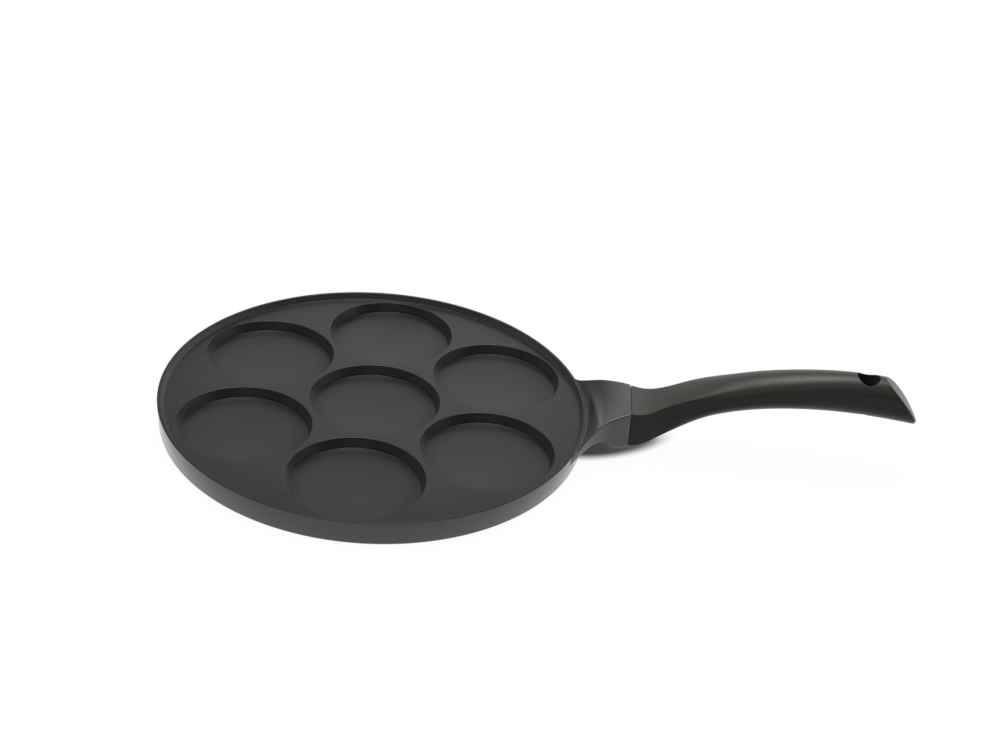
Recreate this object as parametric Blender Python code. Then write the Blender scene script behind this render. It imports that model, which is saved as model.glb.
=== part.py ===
# Frying pan for small pancakes: a cast plate with seven round wells and a moulded handle.
# Frame: the origin is the centre of the base's bottom face, +Z is up, the handle points to +X.
# All driving dimensions are in millimetres and become metres where a mesh is built.

import math

import bmesh
import bpy
import numpy as np
from mathutils import Matrix, Vector

MM = 0.001

# Plate: its flat base, its outer wall and the low rim round its web
PAN_RADIUS = 130.0
RIM_HEIGHT = 15.4
WEB_HEIGHT = 11.8
BASE_RADIUS = 127.4
BASE_EDGE_RADIUS = 1.9
WALL_FOOT = (129.3, 2.6)
LIP_WIDTH = 0.7
LIP_ROUNDING = 0.9
LIP_BEVEL = 0.5
RIM_FOOT_RADIUS = 125.8
RIM_FILLET = ((1.4, 1.1), (0.8, 0.3), (0.0, 0.0))
PLATE_SEGMENTS = 96

# Base grooves, turned into the bottom face
GROOVE_RADII = (40.0, 70.0, 100.0)
GROOVE_WIDTH = 2.4
GROOVE_DEPTH = 0.5
GROOVE_SEGMENTS = 64

# Wells: one in the middle, six on a circle round it
WELL_COUNT = 6
WELL_CIRCLE_RADIUS = 83.2
WELL_FIRST_ANGLE = math.radians(30)
WELL_MOUTH_RADIUS = 40.6
WELL_FLOOR_RADIUS = 34.9
WELL_FLOOR_HEIGHT = 6.5
WELL_SEGMENTS = 40
# Its step, from the floor's edge, and its rounded mouth, from the mouth's edge
WELL_STEP = ((0.0, 0.0), (0.4, 0.3), (0.5, 0.8), (1.3, 0.85), (2.0, 1.2))
WELL_ROUNDING = ((-1.2, -0.8), (-0.5, -0.3), (0.0, 0.0), (0.3, 0.3))

# Bracket, cast in one with the plate. Each outline gives a value at a distance from the pan's axis.
BRACKET_TOP = (
    (129.6, 15.4),
    (131, 15.4),
    (133, 18.3),
    (136, 22.7),
    (140, 27.0),
    (145, 29.7),
    (150, 31.3),
    (156, 31.9),
)
BRACKET_UNDERSIDE = (
    (131, 5.9),
    (133, 12.1),
    (136, 15.5),
    (141, 16.1),
    (144, 14.9),
    (147, 9.5),
    (150, 8.6),
    (156, 8.6),
)
BRACKET_HALF_WIDTH = ((130, 43.0), (134, 35.4), (139, 28.8), (144, 24.2), (150, 20.4), (156, 17.2))
BRACKET_STATIONS = (130.5, 131.2, 132, 133, 134.2, 135.6, 137.2, 139, 141, 143, 145, 147, 149, 152, 155.8)
# Its root inside the plate: distance from the axis, half width, underside and top
BRACKET_ROOT = ((118.0, 38.0, 3.0, 10.0), (127.2, 44.0, 3.6, 11.2), (129.2, 45.0, 4.0, 14.0))
BRACKET_STRAIGHTENS_FROM = 144.0
BRACKET_CHAMFER = 0.6
SEAT_X = 155.8

# Tang, the flat bar that carries the handle
TANG_HALF_WIDTH = 8.0
TANG_BOTTOM = 20.5
TANG_TOP = 27.5
TANG_ROOT_X = 148.0
TANG_END_X = 177.3
TANG_CHAMFER = 1.0

# Handle: height of its top and underside and its half width, at stations along X
HANDLE_START_X = 156.5
HANDLE_LOFT_END_X = 331.0
HANDLE_TOP = (
    (156.5, 31.7),
    (165, 31.9),
    (174, 35.8),
    (190, 44.4),
    (215, 55.1),
    (250, 63.1),
    (285, 66.3),
    (330, 63.2),
)
HANDLE_UNDERSIDE = (
    (156.5, 9.1),
    (165, 10.1),
    (174, 13.9),
    (190, 23.3),
    (215, 33.4),
    (250, 39.7),
    (285, 40.7),
    (330, 36.9),
)
HANDLE_HALF_WIDTH = (
    (156.5, 16.8),
    (165, 14.9),
    (174, 12.7),
    (190, 13.2),
    (215, 13.2),
    (250, 12.3),
    (285, 11.0),
    (330, 9.2),
)
HANDLE_RINGS = 30
HANDLE_RING_SPREAD = 1.3
TOP_ROUNDS_BETWEEN = (162.3, 222.4)
UNDERSIDE_ROUNDS_BETWEEN = (157.8, 205.7)
QUARTER_ANGLES = (0, 15, 30, 42, 48, 60, 75)

# End of the handle: a slanted, slightly domed cut over a small blunt tip
END_CUT_TILT = math.radians(47.8)
END_CUT_MIDDLE = (315.7, 54.0)
END_CUT_HALF_LENGTH = 15.5
END_CUT_DOME = 1.2
END_CUT_SPAN = (-17.5, 22.0)
END_CUT_STEPS = 14
END_TIP_FOOT = (325.0, 37.3)
# A cutter reaches at least to these limits, outside the handle
CLEAR_X = 345.0
CLEAR_Y = 25.0
CLEAR_LOW = 25.0
CLEAR_HIGH = 90.0

HANGING_HOLE_X = 292.5
HANGING_HOLE_RADIUS = 6.9
SOCKET_END_X = 178.0
SOCKET_GAP = 0.4

# Screw and washer that hold the handle on the tang from below
SCREW_X = 166.0
SCREW_RADIUS = 2.5
SCREW_TOP = 26.9
SCREW_HEAD_RADIUS = 4.6
SCREW_HEAD_HEIGHT = 3.0
SCREW_HEAD_SIDE = 1.6
SCREW_TIP_CHAMFER = 0.8
WASHER_RADIUS = 5.0
WASHER_THICKNESS = 1.0
SCREW_CLEARANCE = 0.3
COUNTERBORE_RADIUS = 5.5
COUNTERBORE_TOP = 17.0
HOLE_OVERRUN = 2.0
SMALL_SEGMENTS = 32
SHARP_ANGLE = 35


def clearScene():
    for obj in list(bpy.data.objects):
        bpy.data.objects.remove(obj, do_unlink=True)


def principled(name, colour, roughness, metallic):
    material = bpy.data.materials.new(name)
    material.use_nodes = True
    shader = material.node_tree.nodes["Principled BSDF"]
    shader.inputs["Base Color"].default_value = (*colour, 1.0)
    shader.inputs["Roughness"].default_value = roughness
    shader.inputs["Metallic"].default_value = metallic
    material.diffuse_color = (*colour, 1.0)
    return material


def smoothStep(value, start, end):
    t = min(max((value - start) / (end - start), 0.0), 1.0)
    return t * t * (3 - 2 * t)


def smoothCurve(points):
    """A function that runs through the points as one natural cubic curve."""
    xs, ys = np.array(points, float).T
    gaps = np.diff(xs)
    slopes = np.diff(ys) / gaps
    system = np.eye(len(xs))
    target = np.zeros(len(xs))
    for i in range(1, len(xs) - 1):
        system[i, i - 1 : i + 2] = gaps[i - 1], 2 * (gaps[i - 1] + gaps[i]), gaps[i]
        target[i] = 6 * (slopes[i] - slopes[i - 1])
    bends = np.linalg.solve(system, target)

    def valueAt(x):
        i = int(np.clip(np.searchsorted(xs, x) - 1, 0, len(gaps) - 1))
        before = x - xs[i]
        after = xs[i + 1] - x
        bent = (bends[i] * after**3 + bends[i + 1] * before**3) / (6 * gaps[i])
        left = (ys[i] / gaps[i] - bends[i] * gaps[i] / 6) * after
        right = (ys[i + 1] / gaps[i] - bends[i + 1] * gaps[i] / 6) * before
        return bent + left + right

    return valueAt


def arc(centre, radius, start, end, steps):
    """Points of an arc in the profile plane, its angles in degrees."""
    angles = np.radians(np.linspace(start, end, steps + 1))
    return [(centre[0] + radius * math.cos(a), centre[1] + radius * math.sin(a)) for a in angles]


def objectFrom(name, bm, material=None, place=(0, 0, 0)):
    """The mesh in millimetres as an object in metres, its points given relative to its place."""
    bmesh.ops.remove_doubles(bm, verts=bm.verts, dist=1e-4)
    bmesh.ops.recalc_face_normals(bm, faces=bm.faces)
    bmesh.ops.scale(bm, vec=(MM, MM, MM), verts=bm.verts)
    mesh = bpy.data.meshes.new(name)
    bm.to_mesh(mesh)
    bm.free()
    obj = bpy.data.objects.new(name, mesh)
    obj.location = Vector(place) * MM
    bpy.context.scene.collection.objects.link(obj)
    if material:
        mesh.materials.append(material)
    return obj


def turned(bm, profile, segments, centre=(0, 0)):
    """Spins a profile of (radius, height) points round a vertical axis. Closed if the profile is."""
    middle = Vector((centre[0], centre[1], 0))
    verts = [bm.verts.new(middle + Vector((radius, 0, height))) for radius, height in profile]
    edges = [bm.edges.new(pair) for pair in zip(verts, verts[1:])]
    bmesh.ops.spin(
        bm,
        geom=verts + edges,
        cent=middle,
        axis=(0, 0, 1),
        angle=math.tau,
        steps=segments,
        use_merge=True,
    )


def lofted(bm, rings):
    """Skins rings of equal point counts, with a flat face on the first and the last."""
    loops = [[bm.verts.new(point) for point in ring] for ring in rings]
    for near, far in zip(loops, loops[1:]):
        for i in range(len(near)):
            bm.faces.new((near[i - 1], near[i], far[i], far[i - 1]))
    bm.faces.new(loops[0])
    bm.faces.new(loops[-1])


def box(bm, low, high):
    made = bmesh.ops.create_cube(bm, size=1.0)["verts"]
    low, high = Vector(low), Vector(high)
    bmesh.ops.scale(bm, vec=high - low, verts=made)
    bmesh.ops.translate(bm, vec=(low + high) / 2, verts=made)


def cylinder(bm, centre, radius, low, high):
    bmesh.ops.create_cone(
        bm,
        cap_ends=True,
        segments=SMALL_SEGMENTS,
        radius1=radius,
        radius2=radius,
        depth=high - low,
        matrix=Matrix.Translation((centre[0], centre[1], (low + high) / 2)),
    )


def combine(target, tool, operation):
    """Runs one Boolean on the target's mesh and takes the tool away."""
    modifier = target.modifiers.new(tool.name, "BOOLEAN")
    modifier.operation = operation
    modifier.solver = "EXACT"
    modifier.object = tool
    graph = bpy.context.evaluated_depsgraph_get()
    mesh = bpy.data.meshes.new_from_object(target.evaluated_get(graph), depsgraph=graph)
    target.modifiers.clear()
    target.data = mesh
    bpy.data.objects.remove(tool, do_unlink=True)


def shadeRound(obj):
    obj.data.shade_smooth()
    obj.data.set_sharp_from_angle(angle=math.radians(SHARP_ANGLE))


def plateProfile():
    """Half section from the middle of the base, round the rim, to the middle of the web."""
    lip_outer = PAN_RADIUS - LIP_ROUNDING
    lip_inner = lip_outer - LIP_WIDTH
    points = [(0, 0)]
    points += arc((BASE_RADIUS, BASE_EDGE_RADIUS), BASE_EDGE_RADIUS, -90, -10, 3)
    points += [WALL_FOOT]
    points += arc((lip_outer, RIM_HEIGHT - LIP_ROUNDING), LIP_ROUNDING, 0, 90, 3)
    points += [(lip_inner, RIM_HEIGHT), (lip_inner - LIP_BEVEL, RIM_HEIGHT - LIP_BEVEL)]
    points += [(RIM_FOOT_RADIUS + out, WEB_HEIGHT + up) for out, up in RIM_FILLET]
    points += [(0, WEB_HEIGHT)]
    return points


def wellProfile():
    """Half section of what a well takes out: floor, small step, slanted wall and rounded mouth."""
    points = [(0, WELL_FLOOR_HEIGHT)]
    points += [(WELL_FLOOR_RADIUS + out, WELL_FLOOR_HEIGHT + up) for out, up in WELL_STEP]
    points += [(WELL_MOUTH_RADIUS + out, WEB_HEIGHT + up) for out, up in WELL_ROUNDING]
    points += [(points[-1][0], RIM_HEIGHT), (0, RIM_HEIGHT)]
    return points


def wellCentres():
    yield (0.0, 0.0)
    for i in range(WELL_COUNT):
        angle = WELL_FIRST_ANGLE + i * math.tau / WELL_COUNT
        yield (WELL_CIRCLE_RADIUS * math.cos(angle), WELL_CIRCLE_RADIUS * math.sin(angle))


def wellCutter():
    bm = bmesh.new()
    for centre in wellCentres():
        turned(bm, wellProfile(), WELL_SEGMENTS, centre)
    return objectFrom("well_cutter", bm)


def grooveCutter():
    bm = bmesh.new()
    mouth = GROOVE_WIDTH / 2
    bottom = mouth - GROOVE_DEPTH / 2
    for radius in GROOVE_RADII:
        profile = [
            (radius - mouth, -GROOVE_DEPTH),
            (radius + mouth, -GROOVE_DEPTH),
            (radius + mouth, 0),
            (radius + bottom, GROOVE_DEPTH),
            (radius - bottom, GROOVE_DEPTH),
            (radius - mouth, 0),
        ]
        turned(bm, profile + profile[:1], GROOVE_SEGMENTS)
    return objectFrom("groove_cutter", bm)


def bracketSection(half_width, underside, top):
    """Closed outline of (y, z) points: a rectangle with small chamfers and points across its faces."""
    chamfer = BRACKET_CHAMFER
    across = np.linspace(half_width - chamfer, chamfer - half_width, 9)
    upper = [(y, top) for y in across]
    lower = [(-y, underside) for y in across]
    far_side = [(-half_width, top - chamfer), (-half_width, underside + chamfer)]
    near_side = [(half_width, underside + chamfer), (half_width, top - chamfer)]
    return upper + far_side + lower + near_side


def bracketRing(station, section):
    """The section laid on a circle round the pan's axis, straightening towards the seat."""
    straight = smoothStep(station, BRACKET_STRAIGHTENS_FROM, SEAT_X)
    ring = []
    for y, z in section:
        sag = station - math.sqrt(station**2 - y**2)
        ring.append((station - (1 - straight) * sag, y, z))
    return ring


def bracketTool():
    """The flared neck, which starts inside the plate and rises to the upright seat face."""
    top = smoothCurve(BRACKET_TOP)
    underside = smoothCurve(BRACKET_UNDERSIDE)
    half_width = smoothCurve(BRACKET_HALF_WIDTH)
    rings = [bracketRing(station, bracketSection(*section)) for station, *section in BRACKET_ROOT]
    for station in BRACKET_STATIONS:
        section = bracketSection(half_width(station), underside(station), top(station))
        rings.append(bracketRing(station, section))
    bm = bmesh.new()
    lofted(bm, rings)
    return objectFrom("bracket_tool", bm)


def tangTool():
    bm = bmesh.new()
    box(bm, (TANG_ROOT_X, -TANG_HALF_WIDTH, TANG_BOTTOM), (TANG_END_X, TANG_HALF_WIDTH, TANG_TOP))
    free_end = [e for e in bm.edges if all(v.co.x > SEAT_X for v in e.verts)]
    bmesh.ops.bevel(bm, geom=free_end, offset=TANG_CHAMFER, segments=1, affect="EDGES")
    return objectFrom("tang_tool", bm)


def holeCutter(name, x, radius, low, high):
    bm = bmesh.new()
    cylinder(bm, (x, 0), radius, low, high)
    return objectFrom(name, bm)


def makePanBody(material):
    bm = bmesh.new()
    turned(bm, plateProfile(), PLATE_SEGMENTS)
    body = objectFrom("pan_body", bm, material)
    combine(body, bracketTool(), "UNION")
    combine(body, tangTool(), "UNION")
    combine(body, wellCutter(), "DIFFERENCE")
    combine(body, grooveCutter(), "DIFFERENCE")
    hole_radius = SCREW_RADIUS + SCREW_CLEARANCE
    low, high = TANG_BOTTOM - HOLE_OVERRUN, TANG_TOP + HOLE_OVERRUN
    combine(body, holeCutter("tang_hole", SCREW_X, hole_radius, low, high), "DIFFERENCE")
    shadeRound(body)
    return body


def handleSection(x, top, underside, half_width):
    """A rectangle near the seat that turns into an ellipse, its top later than its underside."""
    middle = (top + underside) / 2
    half_height = (top - underside) / 2
    ring = []
    for quarter in range(4):
        for angle in QUARTER_ANGLES:
            theta = math.radians(90 * quarter + angle)
            rounds_between = TOP_ROUNDS_BETWEEN if math.sin(theta) > 0 else UNDERSIDE_ROUNDS_BETWEEN
            roundness = smoothStep(x, *rounds_between)
            across, up = math.cos(theta), math.sin(theta)
            square_across = min(max(math.sqrt(2) * across, -1), 1)
            square_up = min(max(math.sqrt(2) * up, -1), 1)
            y = half_width * (square_across + roundness * (across - square_across))
            z = middle + half_height * (square_up + roundness * (up - square_up))
            ring.append((x, y, z))
    return ring


def handleLoft():
    top = smoothCurve(HANDLE_TOP)
    underside = smoothCurve(HANDLE_UNDERSIDE)
    half_width = smoothCurve(HANDLE_HALF_WIDTH)
    bm = bmesh.new()
    rings = []
    for share in np.linspace(0, 1, HANDLE_RINGS) ** HANDLE_RING_SPREAD:
        x = HANDLE_START_X + share * (HANDLE_LOFT_END_X - HANDLE_START_X)
        rings.append(handleSection(x, top(x), underside(x), half_width(x)))
    lofted(bm, rings)
    return bm


def endCutter():
    """An upright slab across the handle's end, hollowed so that it leaves a domed slanted face."""
    outward = Vector((math.sin(END_CUT_TILT), math.cos(END_CUT_TILT)))
    along = Vector((-outward.y, outward.x))
    outline = []
    for step in np.linspace(*END_CUT_SPAN, END_CUT_STEPS).tolist():
        dome = END_CUT_DOME * (step / END_CUT_HALF_LENGTH) ** 2
        outline.append(Vector(END_CUT_MIDDLE) + step * along - dome * outward)
    outline += [Vector((CLEAR_X, outline[-1].y)), Vector((CLEAR_X, CLEAR_LOW))]
    outline += [Vector((END_TIP_FOOT[0] - 9, CLEAR_LOW)), Vector(END_TIP_FOOT)]
    bm = bmesh.new()
    lofted(bm, [[(p.x, y, p.y) for p in outline] for y in (-CLEAR_Y, CLEAR_Y)])
    return objectFrom("end_cutter", bm)


def socketCutter():
    bm = bmesh.new()
    gap = SOCKET_GAP
    low = (HANDLE_START_X - HOLE_OVERRUN, -TANG_HALF_WIDTH - gap, TANG_BOTTOM - gap)
    high = (SOCKET_END_X, TANG_HALF_WIDTH + gap, TANG_TOP + gap)
    box(bm, low, high)
    return objectFrom("socket_cutter", bm)


def makeHandle(material, parent):
    handle = objectFrom("handle", handleLoft(), material)
    combine(handle, endCutter(), "DIFFERENCE")
    hanging_hole = holeCutter("hanging_hole", HANGING_HOLE_X, HANGING_HOLE_RADIUS, CLEAR_LOW, CLEAR_HIGH)
    combine(handle, hanging_hole, "DIFFERENCE")
    combine(handle, socketCutter(), "DIFFERENCE")
    hole_radius = SCREW_RADIUS + SCREW_CLEARANCE
    low, high = COUNTERBORE_TOP - HOLE_OVERRUN, TANG_BOTTOM + HOLE_OVERRUN
    combine(handle, holeCutter("screw_hole", SCREW_X, hole_radius, low, high), "DIFFERENCE")
    counterbore = holeCutter("counterbore", SCREW_X, COUNTERBORE_RADIUS, 0, COUNTERBORE_TOP)
    combine(handle, counterbore, "DIFFERENCE")
    shadeRound(handle)
    handle.parent = parent
    return handle


def makeWasher(material, parent):
    inner = SCREW_RADIUS + SCREW_CLEARANCE
    profile = [
        (inner, 0),
        (WASHER_RADIUS, 0),
        (WASHER_RADIUS, WASHER_THICKNESS),
        (inner, WASHER_THICKNESS),
        (inner, 0),
    ]
    bm = bmesh.new()
    turned(bm, profile, SMALL_SEGMENTS)
    bottom = COUNTERBORE_TOP - SCREW_CLEARANCE - WASHER_THICKNESS
    washer = objectFrom("screw_washer", bm, material, (SCREW_X, 0, bottom))
    shadeRound(washer)
    washer.parent = parent
    return washer


def makeScrew(material, parent):
    """Pan head screw, its head's bearing face at its own height zero."""
    bearing = COUNTERBORE_TOP - 2 * SCREW_CLEARANCE - WASHER_THICKNESS
    length = SCREW_TOP - bearing
    crown_height = SCREW_HEAD_HEIGHT - SCREW_HEAD_SIDE
    profile = [(0, -SCREW_HEAD_HEIGHT)]
    for angle in np.radians(np.linspace(60, 0, 5)):
        crown = crown_height * math.sin(angle)
        profile.append((SCREW_HEAD_RADIUS * math.cos(angle), -SCREW_HEAD_SIDE - crown))
    profile += [
        (SCREW_HEAD_RADIUS, 0),
        (SCREW_RADIUS, 0),
        (SCREW_RADIUS, length - SCREW_TIP_CHAMFER),
        (SCREW_RADIUS - SCREW_TIP_CHAMFER, length),
        (0, length),
    ]
    bm = bmesh.new()
    turned(bm, profile, SMALL_SEGMENTS)
    screw = objectFrom("handle_screw", bm, material, (SCREW_X, 0, bearing))
    shadeRound(screw)
    screw.parent = parent
    return screw


def main():
    clearScene()
    coating = principled("dark_coating", (0.055, 0.058, 0.056), 0.45, 0.0)
    moulding = principled("black_moulding", (0.022, 0.023, 0.021), 0.4, 0.0)
    steel = principled("zinc_steel", (0.55, 0.56, 0.57), 0.35, 1.0)
    body = makePanBody(coating)
    handle = makeHandle(moulding, body)
    makeWasher(steel, handle)
    makeScrew(steel, handle)


main()
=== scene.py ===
import math
import bmesh
import bpy
import numpy as np
from mathutils import Euler, Matrix, Vector


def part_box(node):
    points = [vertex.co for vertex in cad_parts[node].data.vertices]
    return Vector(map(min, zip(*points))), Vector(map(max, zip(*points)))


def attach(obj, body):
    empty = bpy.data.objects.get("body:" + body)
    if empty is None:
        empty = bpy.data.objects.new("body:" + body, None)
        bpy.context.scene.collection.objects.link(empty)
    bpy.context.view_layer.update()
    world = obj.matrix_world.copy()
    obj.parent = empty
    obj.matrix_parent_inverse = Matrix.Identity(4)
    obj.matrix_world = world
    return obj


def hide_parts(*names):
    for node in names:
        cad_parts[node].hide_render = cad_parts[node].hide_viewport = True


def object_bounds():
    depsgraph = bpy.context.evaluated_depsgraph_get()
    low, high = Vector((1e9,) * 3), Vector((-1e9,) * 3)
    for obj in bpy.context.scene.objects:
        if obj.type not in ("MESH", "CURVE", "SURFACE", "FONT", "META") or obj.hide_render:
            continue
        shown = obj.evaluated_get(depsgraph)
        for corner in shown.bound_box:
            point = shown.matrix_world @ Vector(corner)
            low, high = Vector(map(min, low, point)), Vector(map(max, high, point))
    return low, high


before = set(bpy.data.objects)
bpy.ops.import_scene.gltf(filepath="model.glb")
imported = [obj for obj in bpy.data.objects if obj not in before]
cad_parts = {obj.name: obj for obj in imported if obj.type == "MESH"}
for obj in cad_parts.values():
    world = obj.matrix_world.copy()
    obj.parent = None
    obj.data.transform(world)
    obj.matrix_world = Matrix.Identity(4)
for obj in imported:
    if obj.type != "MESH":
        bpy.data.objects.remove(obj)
cadLow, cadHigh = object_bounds()
mm = 0.001
print("stage: frame loaded,", len(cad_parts), "nodes")

# Seam between the casting and the handle, in millimetres
seam = {
    "shift": 0.9,  # it lies this much nearer the pan than the solids' gap
    "gap": 0.45,
    "lean": 0.9,  # it is this much wider at its lower end
}
# Places in millimetres from the centre of the base
panRadius = -cadLow.x / mm
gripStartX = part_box("handle")[0].x / mm - seam["shift"]
seatX = gripStartX - seam["gap"]  # upright face at the end of the cast bracket
fastenerX = 166.0


# Camera
cameraView = {
    "azimuth": 0.276,  # degrees, 0 looks along +Y
    "elevation": 31.272,  # degrees above the table
    "roll": 6.106,  # degrees, the photograph's table leans to the right
    "place": (78.6, -784.3, 515.2),  # mm
    "lens": 54.8,  # mm on a 36 mm sensor
}


def addCamera():
    data = bpy.data.cameras.new("photoCamera")
    data.sensor_width = 36.0
    data.lens = cameraView["lens"]
    data.clip_start = 0.01
    camera = bpy.data.objects.new("photoCamera", data)
    pitch = math.radians(90 - cameraView["elevation"])
    turn = Euler((pitch, 0, math.radians(cameraView["azimuth"])))
    roll = Euler((0, 0, math.radians(cameraView["roll"])))
    matrix = (turn.to_matrix() @ roll.to_matrix()).to_4x4()
    matrix.translation = Vector(cameraView["place"]) * mm
    camera.matrix_world = matrix
    bpy.context.scene.collection.objects.link(camera)
    bpy.context.scene.camera = camera


# Node trees: arithmetic on a Wire adds Math nodes
class Wire:
    def __init__(self, graph, socket):
        self.graph = graph
        self.socket = socket

    def math(self, operation, *others):
        sockets = dict(enumerate((self, *others)))
        return self.graph.node("ShaderNodeMath", {"operation": operation}, sockets)

    def __add__(self, other):
        return self.math("ADD", other)

    def __radd__(self, other):
        return self.math("ADD", other)

    def __sub__(self, other):
        return self.math("SUBTRACT", other)

    def __rsub__(self, other):
        return self.graph.node("ShaderNodeMath", {"operation": "SUBTRACT"}, {0: other, 1: self})

    def __mul__(self, other):
        return self.math("MULTIPLY", other)

    def __truediv__(self, other):
        return self.math("DIVIDE", other)

    def __pow__(self, other):
        return self.math("POWER", other)

    def output(self, name):
        return Wire(self.graph, self.socket.node.outputs[name])


class Graph:
    def __init__(self, tree):
        self.tree = tree

    def node(self, kind, settings=None, sockets=None, output=0):
        made = self.tree.nodes.new(kind)
        for name, value in (settings or {}).items():
            setattr(made, name, value)
        for key, value in (sockets or {}).items():
            if isinstance(value, Wire):
                self.tree.links.new(value.socket, made.inputs[key])
            else:
                made.inputs[key].default_value = value
        return Wire(self, made.outputs[output]) if made.outputs else None

    def joined(self, *sources):
        made = self.node("GeometryNodeJoinGeometry")
        for source in sources:
            self.tree.links.new(source.socket, made.socket.node.inputs[0])
        return made


# Shapes shared by the pieces
def smoothCurve(points):
    # a natural cubic curve through the points, as a function of arrays
    xs, ys = np.array(points, float).T
    gaps = np.diff(xs)
    slopes = np.diff(ys) / gaps
    system = np.eye(len(xs))
    target = np.zeros(len(xs))
    for i in range(1, len(xs) - 1):
        system[i, i - 1 : i + 2] = gaps[i - 1], 2 * (gaps[i - 1] + gaps[i]), gaps[i]
        target[i] = 6 * (slopes[i] - slopes[i - 1])
    bends = np.linalg.solve(system, target)

    def valueAt(x):
        i = np.clip(np.searchsorted(xs, x) - 1, 0, len(gaps) - 1)
        before, after = x - xs[i], xs[i + 1] - x
        bent = (bends[i] * after**3 + bends[i + 1] * before**3) / (6 * gaps[i])
        left = (ys[i] / gaps[i] - bends[i] * gaps[i] / 6) * after
        right = (ys[i + 1] / gaps[i] - bends[i + 1] * gaps[i] / 6) * before
        return bent + left + right

    return valueAt


def smoothStep(value, start, end):
    t = np.clip((value - start) / (end - start), 0, 1)
    return t * t * (3 - 2 * t)


def rounded(corners, steps=5):
    # an outline whose corners (x, y, radius) become arcs
    points = []
    for i, (x, y, radius) in enumerate(corners):
        corner = np.array((x, y), float)
        if radius == 0 or i in (0, len(corners) - 1):
            points.append(corner)
            continue
        back = np.array(corners[i - 1][:2]) - corner
        ahead = np.array(corners[i + 1][:2]) - corner
        back, ahead = back / np.linalg.norm(back), ahead / np.linalg.norm(ahead)
        half = math.acos(np.clip(back @ ahead, -1, 1)) / 2
        setback = radius / math.tan(half)
        middle = (back + ahead) / np.linalg.norm(back + ahead)
        centre = corner + middle * radius / math.sin(half)
        start, end = corner + back * setback, corner + ahead * setback
        sweep = math.pi - 2 * half
        for k in range(steps + 1):
            share = k / steps
            a, b = math.sin((1 - share) * sweep), math.sin(share * sweep)
            points.append(centre + (a * (start - centre) + b * (end - centre)) / math.sin(sweep))
    return np.array(points)


def meshObject(name, points, faces):
    mesh = bpy.data.meshes.new(name)
    mesh.from_pydata(np.asarray(points) * mm, [], faces)
    mesh.update()
    obj = bpy.data.objects.new(name, mesh)
    bpy.context.scene.collection.objects.link(obj)
    return obj


def gridFaces(rows, columns):
    # quads between closed rings of equal point counts, the rings one after another
    faces = []
    for i in range(rows - 1):
        a, b = i * columns, (i + 1) * columns
        for j in range(columns):
            k = (j + 1) % columns
            faces.append((a + j, a + k, b + k, b + j))
    return faces


def outward(obj):
    bm = bmesh.new()
    bm.from_mesh(obj.data)
    bmesh.ops.remove_doubles(bm, verts=bm.verts, dist=1e-7)
    bmesh.ops.recalc_face_normals(bm, faces=bm.faces)
    bm.to_mesh(obj.data)
    bm.free()
    return obj


def applied(obj):
    # the object's evaluated mesh, in place of its modifiers
    graph = bpy.context.evaluated_depsgraph_get()
    mesh = bpy.data.meshes.new_from_object(obj.evaluated_get(graph), depsgraph=graph)
    obj.modifiers.clear()
    obj.data = mesh
    return obj


def combine(target, tool, operation):
    modifier = target.modifiers.new(tool.name, "BOOLEAN")
    modifier.operation = operation
    modifier.solver = "EXACT"
    modifier.object = tool
    applied(target)
    bpy.data.objects.remove(tool, do_unlink=True)


def column(name, radius, low, high, segments=64):
    # an upright cutter where the screw sits; it is turned a quarter step, so that no corner of it
    # meets the middle line of the piece it cuts
    angles = (np.arange(segments) + 0.25) * math.tau / segments
    ring = np.stack([fastenerX + radius * np.cos(angles), radius * np.sin(angles)], 1)
    points = [(*p, z) for z in (low, high) for p in ring]
    ends = [tuple(range(segments)), tuple(range(segments, 2 * segments))]
    return outward(meshObject(name, points, gridFaces(2, segments) + ends))


def block(name, low, high, bevel=0.0):
    corners = [
        [(low, high)[b][axis] for axis, b in enumerate(bits)] for bits in np.ndindex(2, 2, 2)
    ]
    faces = [(0, 1, 3, 2), (4, 6, 7, 5), (0, 4, 5, 1), (2, 3, 7, 6), (0, 2, 6, 4), (1, 5, 7, 3)]
    obj = outward(meshObject(name, corners, faces))
    if bevel:
        modifier = obj.modifiers.new("edges", "BEVEL")
        modifier.width = bevel * mm
        modifier.segments = 3
        applied(obj)
    return obj


def finishPiece(obj, finish, sharpAngle):
    # one material, and smooth shading except at edges sharper than the angle in degrees
    obj.data.materials.clear()
    obj.data.materials.append(finish)
    obj.data.polygons.foreach_set("material_index", [0] * len(obj.data.polygons))
    obj.data.shade_smooth()
    obj.data.set_sharp_from_angle(angle=math.radians(sharpAngle))


# Cast body: plate, wells, rim and base from one Geometry Nodes tree. Lengths here and in the
# pieces below are millimetres, angles degrees.
castPlate = {
    "webHeight": 11.8,
    "wellCount": 6,  # round the middle one
    "wellCircle": 83.2,
    "wellTurn": 30.0,
    "wellFlatRing": 40.7,  # the turned well ends in a narrow flat ring at the web's height
    "wellMouth": 40.1,
    "wellFloor": 37.9,
    "floorHeight": (5.85, 5.8),  # at its edge and in its middle
    "wellRounding": (0.4, 0.2),  # at the mouth and at the floor's edge
    "rimFoot": 124.4,  # the web ends here in a flat ring
    "rimBend": 126.4,
    "lipInner": 128.05,
    "rimHeight": 15.4,
    "rimRounding": (0.2, 0.25, 0.3),  # at the bend, the lip's inner edge and its outer edge
    "baseEdge": 129.2,
    "baseRounding": 1.8,
    "grooves": (100, 70, 40),  # radii of the grooves under the base
    "grooveHalfWidth": (1.2, 0.95),  # at the base and at the groove's bottom
    "grooveDepth": 0.5,
    "grooveRounding": 0.2,
    "wellSegments": 160,
    "rimSegments": 360,
    "sharpAngle": 32,
}


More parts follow.
